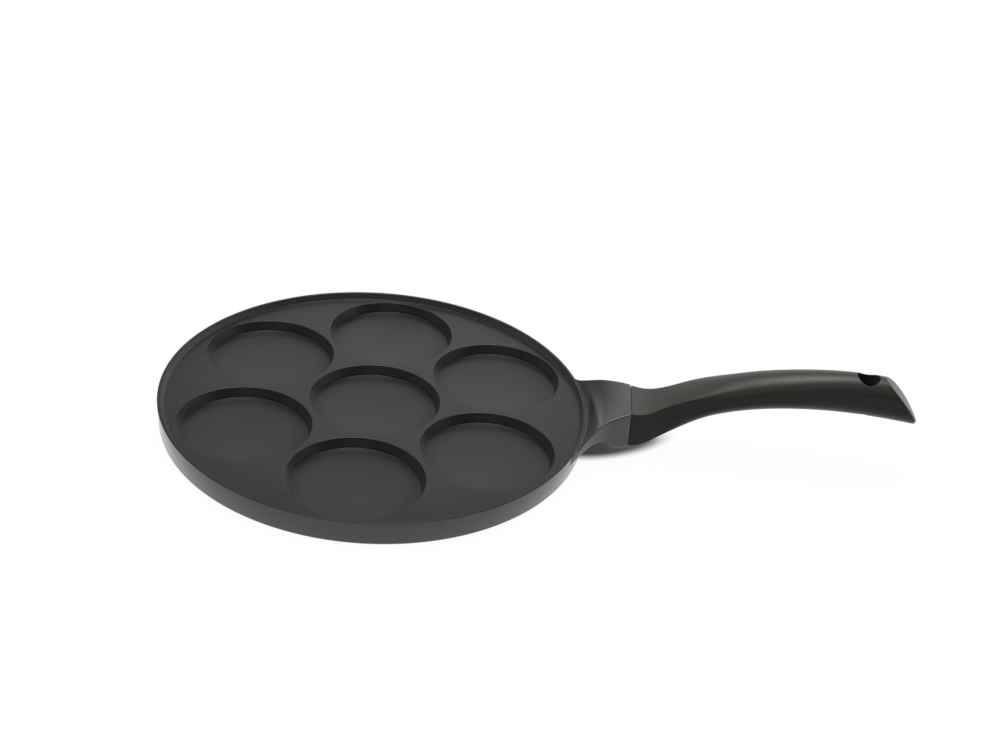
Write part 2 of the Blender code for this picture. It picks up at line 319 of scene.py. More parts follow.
def wellOutline():
    p = castPlate
    web = p["webHeight"]
    edgeHeight, middleHeight = p["floorHeight"]
    mouthRounding, floorRounding = p["wellRounding"]
    corners = [(p["wellFlatRing"], web, 0), (p["wellMouth"], web, mouthRounding)]
    corners += [(p["wellFloor"], edgeHeight, floorRounding), (0, middleHeight, 0)]
    return rounded(corners)


def rimOutline():
    p = castPlate
    bend, inner, outer = p["rimRounding"]
    corners = [
        (p["rimFoot"], p["webHeight"], 0),
        (p["rimBend"], p["webHeight"], bend),
        (p["lipInner"], p["rimHeight"], inner),
        (panRadius, p["rimHeight"], outer),
        (p["baseEdge"], 0, p["baseRounding"]),
    ]
    wide, narrow = p["grooveHalfWidth"]
    depth = p["grooveDepth"]
    for radius in p["grooves"]:
        for offset, height in ((wide, 0), (narrow, depth), (-narrow, depth), (-wide, 0)):
            corners.append((radius + offset, height, p["grooveRounding"]))
    corners.append((0, 0, 0))
    return rounded(corners)


def newTree(name, inputs):
    tree = bpy.data.node_groups.new(name, "GeometryNodeTree")
    tree.interface.new_socket("Geometry", in_out="INPUT", socket_type="NodeSocketGeometry")
    for label, kind in inputs:
        tree.interface.new_socket(label, in_out="INPUT", socket_type="NodeSocket" + kind)
    tree.interface.new_socket("Geometry", in_out="OUTPUT", socket_type="NodeSocketGeometry")
    graph = Graph(tree)
    return tree, graph, graph.node("NodeGroupInput")


def treeEnd(graph, shape, finish):
    shape = graph.node("GeometryNodeRealizeInstances", None, {"Geometry": shape})
    return graph.node("GeometryNodeSetMaterial", None, {"Geometry": shape, "Material": finish})


def turnedTree():
    # turns an outline, the points of a polyline in the XZ plane, round the Z axis
    tree, graph, given = newTree("turnedOutline", [("Segments", "Int"), ("Finish", "Material")])
    segments = given.output("Segments")
    size = {"Geometry": given}
    count = graph.node("GeometryNodeAttributeDomainSize", None, size, "Point Count")
    size = {"Vertices X": segments + 1, "Vertices Y": count}
    sheet = graph.node("GeometryNodeMeshGrid", None, size)
    index = graph.node("GeometryNodeInputIndex")
    step = (index / count).math("FLOOR")
    along = index.math("MODULO", count)
    position = graph.node("GeometryNodeInputPosition")
    point = graph.node(
        "GeometryNodeSampleIndex",
        {"data_type": "FLOAT_VECTOR", "domain": "POINT"},
        {"Geometry": given, "Value": position, "Index": along},
    )
    split = graph.node("ShaderNodeSeparateXYZ", None, {0: point})
    angle = step / segments * math.tau
    x, y = split * angle.math("COSINE"), split * angle.math("SINE")
    place = graph.node("ShaderNodeCombineXYZ", None, {"X": x, "Y": y, "Z": split.output("Z")})
    move = {"Geometry": sheet, "Position": place}
    turned = graph.node("GeometryNodeSetPosition", None, move)
    merge = {"Geometry": turned, "Distance": 1e-6}
    merged = graph.node("GeometryNodeMergeByDistance", None, merge)
    whole = treeEnd(graph, merged, given.output("Finish"))
    graph.node("NodeGroupOutput", None, {"Geometry": whole})
    return tree


def plateTree(turned):
    # the rim's outline is turned once; the well's outline is turned once too, then set on the
    # centre and on a circle round it; the web fills what lies between
    inputs = [
        ("Web Height", "Float"),
        ("Well Circle", "Float"),
        ("Well Count", "Int"),
        ("Well Turn", "Float"),
        ("Well Ring", "Float"),
        ("Rim Foot", "Float"),
        ("Well Segments", "Int"),
        ("Rim Segments", "Int"),
        ("Finish", "Material"),
    ]
    tree, graph, given = newTree("castPlate", inputs)
    finish = given.output("Finish")
    wellSegments, rimSegments = given.output("Well Segments"), given.output("Rim Segments")

    def turnedPart(outline, segments):
        sockets = {"Geometry": outline, "Segments": segments, "Finish": finish}
        return graph.node("GeometryNodeGroup", {"node_tree": turned}, sockets)

    def circle(segments, radius):
        sockets = {"Resolution": segments, "Radius": radius}
        return graph.node("GeometryNodeCurvePrimitiveCircle", None, sockets)

    def onPlaces(shape):
        sockets = {"Points": places, "Instance": shape}
        return graph.node("GeometryNodeInstanceOnPoints", None, sockets)

    marked = {"data_type": "FLOAT"}
    isWell = graph.node("GeometryNodeInputNamedAttribute", marked, {"Name": "well"})
    parts = graph.node(
        "GeometryNodeSeparateGeometry",
        {"domain": "POINT"},
        {"Geometry": given, "Selection": isWell},
    )
    well = turnedPart(parts, wellSegments)
    rim = turnedPart(parts.output("Inverted"), rimSegments)
    size = {"Vertices": given.output("Well Count"), "Radius": given.output("Well Circle")}
    ring = graph.node("GeometryNodeMeshCircle", None, size)
    turn = graph.node("ShaderNodeCombineXYZ", None, {"Z": given.output("Well Turn")})
    ring = graph.node("GeometryNodeTransform", None, {"Geometry": ring, "Rotation": turn})
    middle = graph.node("GeometryNodeMeshLine", None, {"Count": 1})
    places = graph.joined(ring, middle)
    mouths = onPlaces(circle(wellSegments, given.output("Well Ring")))
    mouths = graph.node("GeometryNodeRealizeInstances", None, {"Geometry": mouths})
    outlines = graph.joined(mouths, circle(rimSegments, given.output("Rim Foot")))
    web = graph.node("GeometryNodeFillCurve", None, {"Curve": outlines})
    lift = graph.node("ShaderNodeCombineXYZ", None, {"Z": given.output("Web Height")})
    web = graph.node("GeometryNodeTransform", None, {"Geometry": web, "Translation": lift})
    whole = graph.joined(rim, onPlaces(well), web)
    whole = graph.node("GeometryNodeRealizeInstances", None, {"Geometry": whole})
    merge = {"Geometry": whole, "Distance": 5e-6}
    whole = graph.node("GeometryNodeMergeByDistance", None, merge)
    graph.node("NodeGroupOutput", None, {"Geometry": treeEnd(graph, whole, finish)})
    return tree


def shapedByTree(name, outlines, tree, values):
    # the outlines become polylines of one mesh, marked 1 where they are a well's, and the tree
    # turns them into the shape
    points, edges, marks = [], [], []
    for isWell, outline in outlines:
        first = len(points)
        points += [(x, 0, z) for x, z in outline * mm]
        edges += [(i, i + 1) for i in range(first, len(points) - 1)]
        marks += [isWell] * len(outline)
    mesh = bpy.data.meshes.new(name)
    mesh.from_pydata(points, edges, [])
    mesh.attributes.new("well", "FLOAT", "POINT").data.foreach_set("value", marks)
    obj = bpy.data.objects.new(name, mesh)
    bpy.context.scene.collection.objects.link(obj)
    modifier = obj.modifiers.new(name, "NODES")
    modifier.node_group = tree
    for item in tree.interface.items_tree:
        if item.in_out == "INPUT" and item.name in values:
            modifier[item.identifier] = values[item.name]
    return outward(applied(obj))


def makePlate(finish):
    values = {
        "Web Height": castPlate["webHeight"] * mm,
        "Well Circle": castPlate["wellCircle"] * mm,
        "Well Count": castPlate["wellCount"],
        "Well Turn": math.radians(castPlate["wellTurn"]),
        "Well Ring": castPlate["wellFlatRing"] * mm,
        "Rim Foot": castPlate["rimFoot"] * mm,
        "Well Segments": castPlate["wellSegments"],
        "Rim Segments": castPlate["rimSegments"],
        "Finish": finish,
    }
    outlines = [(0.0, rimOutline()), (1.0, wellOutline())]
    return shapedByTree("castBody", outlines, plateTree(turnedTree()), values)


# Bracket: the flared neck from the rim to the seat, part of the casting. Its curves give a value
# at a distance from the pan's axis.
bracketNeck = {
    "top": (
        (129.4, 15.2), (130.5, 15.6), (132, 17.2), (134, 20.3), (136, 22.9),
        (140, 27.0), (145, 29.7), (150, 31.2), (156, 31.9),
    ),
    "underside": (
        (129, 8.6), (131, 10.8), (133, 13.2), (136, 15.3), (140.5, 15.9),
        (144, 14.0), (147, 9.9), (150, 8.7), (156, 8.6),
    ),
    "halfWidth": (
        (130, 45.0), (132, 40.6), (134, 36.3), (136, 32.9),
        (139, 28.8), (144, 24.2), (150, 20.4), (156, 17.2),
    ),
    # inside the plate, first a flat section, then two round the axis: distance, half width,
    # underside, top
    "root": (118.0, 38.0, 3.0, 10.0),
    "collars": ((127.4, 44.5, 7.0, 11.4), (129.0, 45.5, 8.4, 14.6)),
    "start": 129.9,
    "straightFrom": 144.0,  # its sections are bent round the axis before, and flat at the seat
    "edge": 0.9,  # rounding of the long edges
    "stations": 72,
    "stationPower": 1.25,  # over 1, the stations are closer at the start
    "seatRounding": 0.12,
    "bossInset": (1.2, 0.1, 0.5),  # of a raised face that fills the seam: sides, bottom, top
    "bossHeight": 0.3,
    "bossEdge": 0.1,
    "tang": ((148.0, -8.0, 20.5), (177.3, 8.0, 27.5)),
    "tangBevel": 1.0,
    "tangHole": (2.8, 18.0, 30.0),  # radius, low end, high end
}


def neckSection(halfWidth, underside, top, edge):
    # closed outline of (y, z) points with rounded corners
    flatCount, sideCount = 17, 9
    arcs = np.radians(np.linspace(0, 90, 6))[1:-1]
    bent, turned = edge * np.sin(arcs), edge * np.cos(arcs)
    across = np.linspace(0, -1, flatCount) * (halfWidth - edge)
    upper = np.stack([across, np.full(flatCount, top)], 1)
    corner = np.stack([edge - halfWidth - bent, top - edge + turned], 1)
    side = np.stack(
        [np.full(sideCount, -halfWidth), np.linspace(top - edge, underside + edge, sideCount)], 1
    )
    lowCorner = np.stack([edge - halfWidth - turned, underside + edge - bent], 1)
    lower = np.stack([across[::-1], np.full(flatCount, underside)], 1)
    left = np.concatenate([upper, corner, side, lowCorner, lower])
    mirrored = left[::-1][1:-1] * (-1, 1)
    return np.concatenate([left, mirrored])


def neckRing(station, section):
    straight = smoothStep(station, bracketNeck["straightFrom"], seatX)
    y, z = section.T
    sag = station - np.sqrt(station**2 - y**2)
    return np.stack([station - (1 - straight) * sag, y, z], 1)


def makeNeck():
    n = bracketNeck
    top, underside, halfWidth = (smoothCurve(n[name]) for name in ("top", "underside", "halfWidth"))
    edge, rounding, start = n["edge"], n["seatRounding"], n["start"]

    def sectionAt(x, side=0.0, bottom=0.0, crown=0.0):
        return neckSection(halfWidth(x) - side, underside(x) + bottom, top(x) - crown, edge)

    rootX, *rootSizes = n["root"]
    root = neckSection(*rootSizes, edge)
    rings = [np.concatenate([np.full((len(root), 1), rootX), root], 1)]
    rings += [neckRing(x, neckSection(*sizes, edge)) for x, *sizes in n["collars"]]
    shares = np.linspace(0, 1, n["stations"]) ** n["stationPower"]
    for station in start + (seatX - rounding - start) * shares:
        rings.append(neckRing(station, sectionAt(station)))
    ends = []
    for turn in np.radians((30, 60, 90)):
        ends.append((rounding * (math.sin(turn) - 1), np.full(3, rounding * (1 - math.cos(turn)))))
    boss, bossHeight, bossEdge = np.array(n["bossInset"]), n["bossHeight"], n["bossEdge"]
    ends += [(0.0, boss), (bossHeight - bossEdge, boss), (bossHeight, boss + bossEdge)]
    for beyond, inset in ends:
        section = sectionAt(seatX, *inset)
        fall = (top(seatX) - section[:, 1]) / (top(seatX) - underside(seatX))
        lean = seam["lean"] * fall * max(beyond, 0) / bossHeight
        rings.append(np.concatenate([(seatX + beyond + lean)[:, None], section], 1))
    count = len(root)
    faces = gridFaces(len(rings), count)
    faces += [tuple(range(count)), tuple(range((len(rings) - 1) * count, len(rings) * count))]
    return outward(meshObject("neck", np.concatenate(rings), faces))


def makeCastBody(finish):
    body = makePlate(finish)
    combine(body, makeNeck(), "UNION")
    tang = block("tang", *bracketNeck["tang"], bevel=bracketNeck["tangBevel"])
    combine(body, tang, "UNION")
    combine(body, column("tangHole", *bracketNeck["tangHole"]), "DIFFERENCE")
    finishPiece(body, finish, castPlate["sharpAngle"])
    return body


# Handle: a loft whose end, hanging hole and edges follow the same surface. Its curves give a
# value at a place along X.
gripShape = {
    "top": (
        (156.5, 31.7), (165, 31.9), (174, 35.8), (190, 44.4),
        (215, 55.1), (250, 63.1), (285, 66.3), (330, 63.2),
    ),
    "underside": (
        (156.5, 9.1), (165, 10.1), (174, 13.9), (190, 23.3),
        (215, 33.4), (250, 39.7), (285, 40.7), (330, 36.9),
    ),
    "halfWidth": (
        (156.5, 16.8), (165, 14.9), (174, 12.7), (190, 13.2),
        (215, 13.2), (250, 12.3), (285, 11.0), (330, 9.2),
    ),
    "topRounds": (162.3, 222.4),  # the flat top becomes round between these places
    "undersideRounds": (157.8, 205.7),
    "cornerPower": 40.0,  # the higher, the sharper are the rectangle's corners
    "startRounding": 0.25,
    "leanFades": 12.0,  # length over which the start's lean fades out
    "stations": 150,
    "stationPower": 1.12,
    "lastStation": 312.0,
    "endBlend": 6,  # the higher, the later do the stations bend towards the cut
    "cutTilt": 47.8,
    "cutMiddle": (315.75, 0.0, 54.0),
    "cutDome": 1.2 / 15.5**2,  # crown over the square of half the cut's length
    "cutBetween": (295.0, 336.0),  # the cut's edge lies between these places
    "endRounding": 0.8,  # at the cut's upper end
    "tipRounding": 2.2,  # at its lower end
    "holeX": 292.5,
    "holeRadius": 6.9,
    "holeRadiusBelow": 5.9,
    "holeRounding": 0.5,
    "holeSquare": (24, 9.6),  # half of the skin's square round it, in columns and in mm
    "holeWallSteps": 10,
    "socket": ((-8.4, 20.1), (8.4, 27.9)),
    "socketEnd": 178.0,
    "screwHole": (2.8, 15.0, 22.5),  # radius, low end, high end
    "counterbore": (5.5, 0.0, 17.0),
    "cutterReach": 5.0,  # the socket's cutter begins this far outside the handle
    "sharpAngle": 35,
}
gripTop = smoothCurve(gripShape["top"])
gripUnderside = smoothCurve(gripShape["underside"])
gripHalfWidth = smoothCurve(gripShape["halfWidth"])
cutTilt = math.radians(gripShape["cutTilt"])
cutNormal = np.array((math.sin(cutTilt), 0, math.cos(cutTilt)))
cutUphill = np.array((-cutNormal[2], 0, cutNormal[0]))


def gripSurface(x, theta, inset=0.0):
    # point of the grip at station x and section angle theta, a rectangle that becomes an ellipse
    across, up = np.cos(theta), np.sin(theta)
    power = gripShape["cornerPower"]
    topRound = smoothStep(x, *gripShape["topRounds"])
    lowRound = smoothStep(x, *gripShape["undersideRounds"])
    roundness = np.where(up > 0, topRound, lowRound)
    flatAcross, flatUp = math.sqrt(2) * across, math.sqrt(2) * up
    flatAcross = flatAcross / (1 + np.abs(flatAcross) ** power) ** (1 / power)
    flatUp = flatUp / (1 + np.abs(flatUp) ** power) ** (1 / power)
    top, low = gripTop(x) - inset, gripUnderside(x) + inset
    y = (gripHalfWidth(x) - inset) * (flatAcross + roundness * (across - flatAcross))
    z = (top + low) / 2 + (top - low) / 2 * (flatUp + roundness * (up - flatUp))
    return np.stack([x + 0 * y, y, z], -1)


def beyondCut(points):
    offset = points - np.array(gripShape["cutMiddle"])
    return offset @ cutNormal + gripShape["cutDome"] * (offset @ cutUphill) ** 2


def onCut(uphill, y):
    place = np.array(gripShape["cutMiddle"]) + uphill[..., None] * cutUphill
    place = place - (gripShape["cutDome"] * uphill**2)[..., None] * cutNormal
    place[..., 1] = y
    return place


def unit(vectors):
    return vectors / np.linalg.norm(vectors, axis=-1, keepdims=True)


def sectionAngles():
    # close steps at the four corners of the rectangle, wider ones between them
    before, after = np.linspace(0, 40, 12), np.linspace(50, 90, 12)[:-1]
    quarter = np.concatenate([before, np.linspace(41, 49, 11), after])
    return np.radians(np.concatenate([quarter + 90 * k for k in range(4)]))


def cutEdge(theta):
    # the station at which the skin meets the cut, by halving
    start, end = gripShape["cutBetween"]
    low, high = np.full_like(theta, start), np.full_like(theta, end)
    for _ in range(40):
        middle = (low + high) / 2
        outside = beyondCut(gripSurface(middle, theta)) > 0
        low, high = np.where(outside, low, middle), np.where(outside, middle, high)
    return (low + high) / 2


def endRings(theta):
    # each point's start of the rounding between skin and cut, and the rounding's rings
    x = cutEdge(theta)
    edge = gripSurface(x, theta)
    step = 1e-3
    alongX = (gripSurface(x + step, theta) - gripSurface(x - step, theta)) / (2 * step)
    alongTheta = (gripSurface(x, theta + step) - gripSurface(x, theta - step)) / (2 * step)
    skinNormal = unit(np.cross(alongTheta, alongX))
    uphill = (edge - np.array(gripShape["cutMiddle"])) @ cutUphill
    capNormal = unit(cutNormal + 2 * gripShape["cutDome"] * uphill[:, None] * cutUphill)
    tangent = unit(np.cross(skinNormal, capNormal))
    towardsSkin = np.cross(skinNormal, tangent)
    towardsSkin *= -np.sign((towardsSkin * alongX).sum(1))[:, None]
    towardsCap = np.cross(capNormal, tangent)
    centre = np.array((x.mean(), 0, edge[:, 2].mean()))
    towardsCap *= np.sign((towardsCap * (centre - edge)).sum(1))[:, None]
    half = np.arccos(np.clip((towardsSkin * towardsCap).sum(1), -1, 1)) / 2
    radius = gripShape["endRounding"]
    radius = radius + (gripShape["tipRounding"] - radius) * (1 - np.sin(theta)) / 2
    setback = radius / np.tan(half)
    move = setback[:, None] * towardsSkin
    xx, xt, tt = (alongX**2).sum(1), (alongX * alongTheta).sum(1), (alongTheta**2).sum(1)
    mx, mt = (move * alongX).sum(1), (move * alongTheta).sum(1)
    determinant = xx * tt - xt**2
    startX = x + (mx * tt - mt * xt) / determinant
    startTheta = theta + (mt * xx - mx * xt) / determinant
    arcCentre = edge + unit(towardsSkin + towardsCap) * (radius / np.sin(half))[:, None]
    first = edge + move - arcCentre
    last = edge + setback[:, None] * towardsCap - arcCentre
    sweep = math.pi - 2 * half
    rings = []
    for share in np.linspace(0, 1, 9)[1:]:
        a = np.sin((1 - share) * sweep) / np.sin(sweep)
        b = np.sin(share * sweep) / np.sin(sweep)
        rings.append(arcCentre + a[:, None] * first + b[:, None] * last)
    return startX, startTheta, rings


def capRings(rim):
    # the domed cut from its rounded edge to its middle, and its middle
    offset = rim - np.array(gripShape["cutMiddle"])
    uphill, y = offset @ cutUphill, rim[:, 1]
    middle = (uphill.max() + uphill.min()) / 2
    shares = np.linspace(1, 0, 16)[1:-1]
    rings = [onCut(middle + share * (uphill - middle), share * y) for share in shares]
    return rings, onCut(np.array([middle]), np.array([0.0]))


def holeHeight(x, y, side):
    top, low = gripTop(x), gripUnderside(x)
    reach = np.sqrt(np.clip(1 - (y / gripHalfWidth(x)) ** 2, 0, 1))
    return (top + low) / 2 + side * (top - low) / 2 * reach


def holeSide(boundary, side):
    # rings from a square of the skin to the hole's edge and round it
    radius = gripShape["holeRadius"] if side > 0 else gripShape["holeRadiusBelow"]
    rounding, holeX = gripShape["holeRounding"], gripShape["holeX"]
    angles = np.arctan2(boundary[:, 1], boundary[:, 0] - holeX)
    circle = np.stack([np.cos(angles), np.sin(angles)], 1)
    rings = []
    for share in np.linspace(0, 1, 6)[1:]:
        outer = np.array((holeX, 0)) + (radius + rounding) * circle
        plan = boundary[:, :2] + share * (outer - boundary[:, :2])
        rings.append(np.stack([*plan.T, holeHeight(*plan.T, side)], 1))
    for turn in np.radians(np.linspace(0, 90, 7))[1:]:
        plan = np.array((holeX, 0)) + (radius + rounding * (1 - math.sin(turn))) * circle
        z = holeHeight(*plan.T, side) - side * rounding * (1 - math.cos(turn))
        rings.append(np.stack([*plan.T, z], 1))
    return rings


def makeGripSkin():
    theta = sectionAngles()
    count = len(theta)
    startX, startTheta, rounding = endRings(theta)
    edge, lastStation = gripShape["startRounding"], gripShape["lastStation"]
    rows = []
    for turn in np.radians((0, 30, 60)):
        inset, advance = edge * (1 - math.sin(turn)), edge * (1 - math.cos(turn))
        rows.append(gripSurface(np.full(count, gripStartX + advance), theta, inset))
    for share in np.linspace(0, 1, gripShape["stations"]) ** gripShape["stationPower"]:
        blend = share ** gripShape["endBlend"]
        x = gripStartX + edge + share * (lastStation - gripStartX - edge)
        x = x + blend * (startX - lastStation)
        rows.append(gripSurface(x, theta + blend * (startTheta - theta)))
    skinRows = len(rows)
    top, low = gripTop(gripStartX), gripUnderside(gripStartX)
    for row in rows:
        fall = (top - row[:, 2]) / (top - low)
        fade = 1 - smoothStep(row[:, 0], gripStartX, gripStartX + gripShape["leanFades"])
        row[:, 0] += seam["lean"] * fall * fade
    cap, tip = capRings(rounding[-1])
    rows += rounding + cap
    points = np.concatenate(rows + [tip])
    faces = gridFaces(len(rows), count)
    lastRing = (len(rows) - 1) * count
    faces += [(lastRing + j, lastRing + (j + 1) % count, len(points) - 1) for j in range(count)]
    faces.append(tuple(range(count)))
    return points, faces, skinRows, count


def bridge(faces, ring, nextRing):
    for j in range(len(ring)):
        k = (j + 1) % len(ring)
        faces.append((ring[j], ring[k], nextRing[k], nextRing[j]))


def addRing(points, ring):
    points += list(ring)
    return list(range(len(points) - len(ring), len(points)))


def openHole(points, faces, skinRows, count):
    # takes a square of quads out of the skin above and below, and joins both by the hole's wall
    holeX = gripShape["holeX"]
    reach, half = gripShape["holeSquare"]
    grid = points[: skinRows * count].reshape(skinRows, count, 3)
    points = list(points)
    taken, loops = set(), []
    rowCount = int(np.sum(np.abs(grid[:, count // 4, 0] - holeX) < half))
    for side, middle in ((1, count // 4), (-1, 3 * count // 4)):
        rowA = int(np.argmin(np.abs(grid[:, middle, 0] - holeX + half)))
        rowB = rowA + rowCount
        rowRange, columnRange = range(rowA, rowB), range(middle - reach, middle + reach)
        taken.update((i, j) for i in rowRange for j in columnRange)
        columns = range(middle - reach, middle + reach + 1)[::-side]
        loop = [(rowA, j) for j in columns[:-1]] + [(i, columns[-1]) for i in rowRange]
        loop += [(rowB, j) for j in columns[::-1][:-1]]
        loop += [(i, columns[0]) for i in range(rowB, rowA, -1)]
        loops.append((side, [i * count + j for i, j in loop]))
    lastRow = (skinRows - 1) * count
    kept = [
        f for f in faces if len(f) != 4 or f[0] >= lastRow or divmod(f[0], count) not in taken
    ]
    ends = []
    for side, loop in loops:
        # both loops start at the corner nearest to a far point and run the same way round
        away = np.array([points[i][:2] for i in loop]) - (holeX - 100, -100)
        start = int(np.argmin(np.hypot(*away.T)))
        loop = loop[start:] + loop[:start]
        if np.cross(*(points[i][:2] - (holeX, 0) for i in loop[:2])) < 0:
            loop = loop[:1] + loop[1:][::-1]
        previous = loop
        for ring in holeSide(np.array([points[i] for i in loop]), side):
            current = addRing(points, ring)
            bridge(kept, previous, current)
            previous = current
        ends.append(previous)
    upper, lower = ends
    steps = gripShape["holeWallSteps"]
    previous = upper
    for share in np.arange(1, steps) / steps:
        ring = [points[a] * (1 - share) + points[b] * share for a, b in zip(upper, lower)]
        current = addRing(points, ring)
        bridge(kept, previous, current)
        previous = current
    bridge(kept, previous, lower)
    return np.array(points), kept


def makeGrip(finish):
    points, faces = openHole(*makeGripSkin())
    grip = outward(meshObject("mouldedGrip", points, faces))
    low, high = gripShape["socket"]
    socketStart = gripStartX - gripShape["cutterReach"]
    socket = block("socket", (socketStart, *low), (gripShape["socketEnd"], *high))
    combine(grip, socket, "DIFFERENCE")
    combine(grip, column("screwHole", *gripShape["screwHole"]), "DIFFERENCE")
    combine(grip, column("counterbore", *gripShape["counterbore"]), "DIFFERENCE")
    finishPiece(grip, finish, gripShape["sharpAngle"])
    return grip


# Screw under the handle
screwShape = {
    "headRadius": 4.6,
    "headLow": 12.4,
    "headSide": 1.6,  # height of the head's straight side
    "bearing": 15.4,
    "edge": 0.2,  # bevels of the head's upper edge and of the corner under it
    "radius": 2.5,
    "neck": 0.5,  # from the bearing to the thread
    "pitch": 0.8,
    "threadDepth": 0.4,
    "tip": 26.9,
    "tipRadius": 1.6,
    "tipEdge": 0.1,
    "recessMouth": (2.5, 0.62),  # the cross's reach and half width
    "recessBottom": (1.1, 0.4),
    "recessDepth": 1.9,
    "recessClear": 0.4,  # its cutter begins this far outside the head
    "segments": 64,
    "sharpAngle": 30,
}


def makeScrew(finish):
    # rows of radius, height and thread depth, from the middle of the head to the tip
    s = screwShape
    edge, bearing, tip, segments = s["edge"], s["bearing"], s["tip"], s["segments"]
    sideLow = bearing - s["headSide"]
    rows = [(0.25 * k, s["headLow"] + 0.002 * k, 0) for k in range(3)]
    for angle in np.radians(np.linspace(78, 0, 14)):
        z = sideLow - (sideLow - s["headLow"]) * math.sin(angle)
        rows.append((s["headRadius"] * math.cos(angle), z, 0))
    rows += [(s["headRadius"], bearing - edge, 0), (s["headRadius"] - edge, bearing, 0)]
    rows += [(s["radius"] + edge, bearing, 0), (s["radius"], bearing + edge, 0)]
    threadStart = bearing + s["neck"]
    for z in np.arange(threadStart, tip - s["pitch"], s["pitch"] / 8):
        depth = s["threadDepth"] * smoothStep(z, threadStart, threadStart + s["pitch"])
        rows.append((s["radius"], z, depth))
    rows += [(s["tipRadius"] + s["tipEdge"], tip - s["tipEdge"], 0)]
    rows += [(s["tipRadius"], tip, 0), (0, tip, 0)]
    angles = np.linspace(0, math.tau, segments, endpoint=False)
    points = []
    for radius, z, depth in rows:
        phase = (z / s["pitch"] - angles / math.tau) % 1
        r = radius - depth * np.abs(2 * phase - 1)
        x, y = fastenerX + r * np.cos(angles), r * np.sin(angles)
        points.append(np.stack([x, y, np.full(segments, z)], 1))
    faces = gridFaces(len(rows), segments)
    screw = outward(meshObject("panHeadScrew", np.concatenate(points), faces))
    combine(screw, crossTool(), "DIFFERENCE")
    finishPiece(screw, finish, s["sharpAngle"])
    return screw


def crossTool():
    # cutter of the tapered cross recess, which opens downwards
    points = []
    mouthZ = screwShape["headLow"] - screwShape["recessClear"]
    bottomZ = screwShape["headLow"] + screwShape["recessDepth"]
    for z, end in ((mouthZ, "recessMouth"), (bottomZ, "recessBottom")):
        reach, width = screwShape[end]
        corner = [(reach, -width), (reach, width), (width, width)]
        for c, s in ((1, 0), (0, 1), (-1, 0), (0, -1)):
            points += [(fastenerX + c * x - s * y, s * x + c * y, z) for x, y in corner]
    faces = gridFaces(2, 12) + [tuple(range(12)), tuple(range(12, 24))]
    return outward(meshObject("crossTool", points, faces))


# Washer under the screw's head
washerShape = {
    "bottom": 15.7,
    "thickness": 1.0,
    "inner": 2.8,
    "outer": 5.0,
    "edge": 0.15,
    "segments": 96,
    "sharpAngle": 40,
}


def makeWasher(finish):
    w = washerShape
    low, high, edge = w["bottom"], w["bottom"] + w["thickness"], w["edge"]
    middle = (w["inner"] + w["outer"]) / 2
    corners = [(middle, low, 0), (w["outer"], low, edge), (w["outer"], high, edge)]
    corners += [(w["inner"], high, edge), (w["inner"], low, edge), (middle, low, 0)]
    values = {"Segments": w["segments"], "Finish": finish}
    washer = shapedByTree("flatWasher", [(0.0, rounded(corners))], turnedTree(), values)
    washer.data.transform(Matrix.Translation((fastenerX * mm, 0, 0)))
    finishPiece(washer, finish, w["sharpAngle"])
    return washer


# Materials
def principledMaterial(name, build):
    material = bpy.data.materials.new(name)
    material.use_nodes = True
    graph = Graph(material.node_tree)
    material.node_tree.nodes.clear()
    shader = graph.node("ShaderNodeBsdfPrincipled", None, build(graph))
    graph.node("ShaderNodeOutputMaterial", None, {"Surface": shader})
    return material


def objectPlace(graph):
    return graph.node("ShaderNodeTexCoord", output="Object")


def noise(graph, scale, detail):
    sockets = {"Vector": objectPlace(graph), "Scale": scale, "Detail": detail}
    return graph.node("ShaderNodeTexNoise", None, sockets)


def grainBump(graph, finish):
    grain = noise(graph, finish["grain"], 2.0)
    sockets = {"Strength": finish["bump"], "Distance": 0.1 * mm, "Height": grain}
    return graph.node("ShaderNodeBump", None, sockets)


def mixColour(graph, share, first, second):
    sockets = {"Factor": share}
    for name, colour in (("A", first), ("B", second)):
        sockets[name] = colour if isinstance(colour, Wire) else (*colour, 1.0)
    return graph.node("ShaderNodeMix", {"data_type": "RGBA"}, sockets, "Result")


def ramp(graph, value, start, end):
    # 0 before start and 1 after end, smooth between them
    sockets = {"Value": value, "From Min": start, "From Max": end}
    return graph.node("ShaderNodeMapRange", {"interpolation_type": "SMOOTHSTEP"}, sockets)


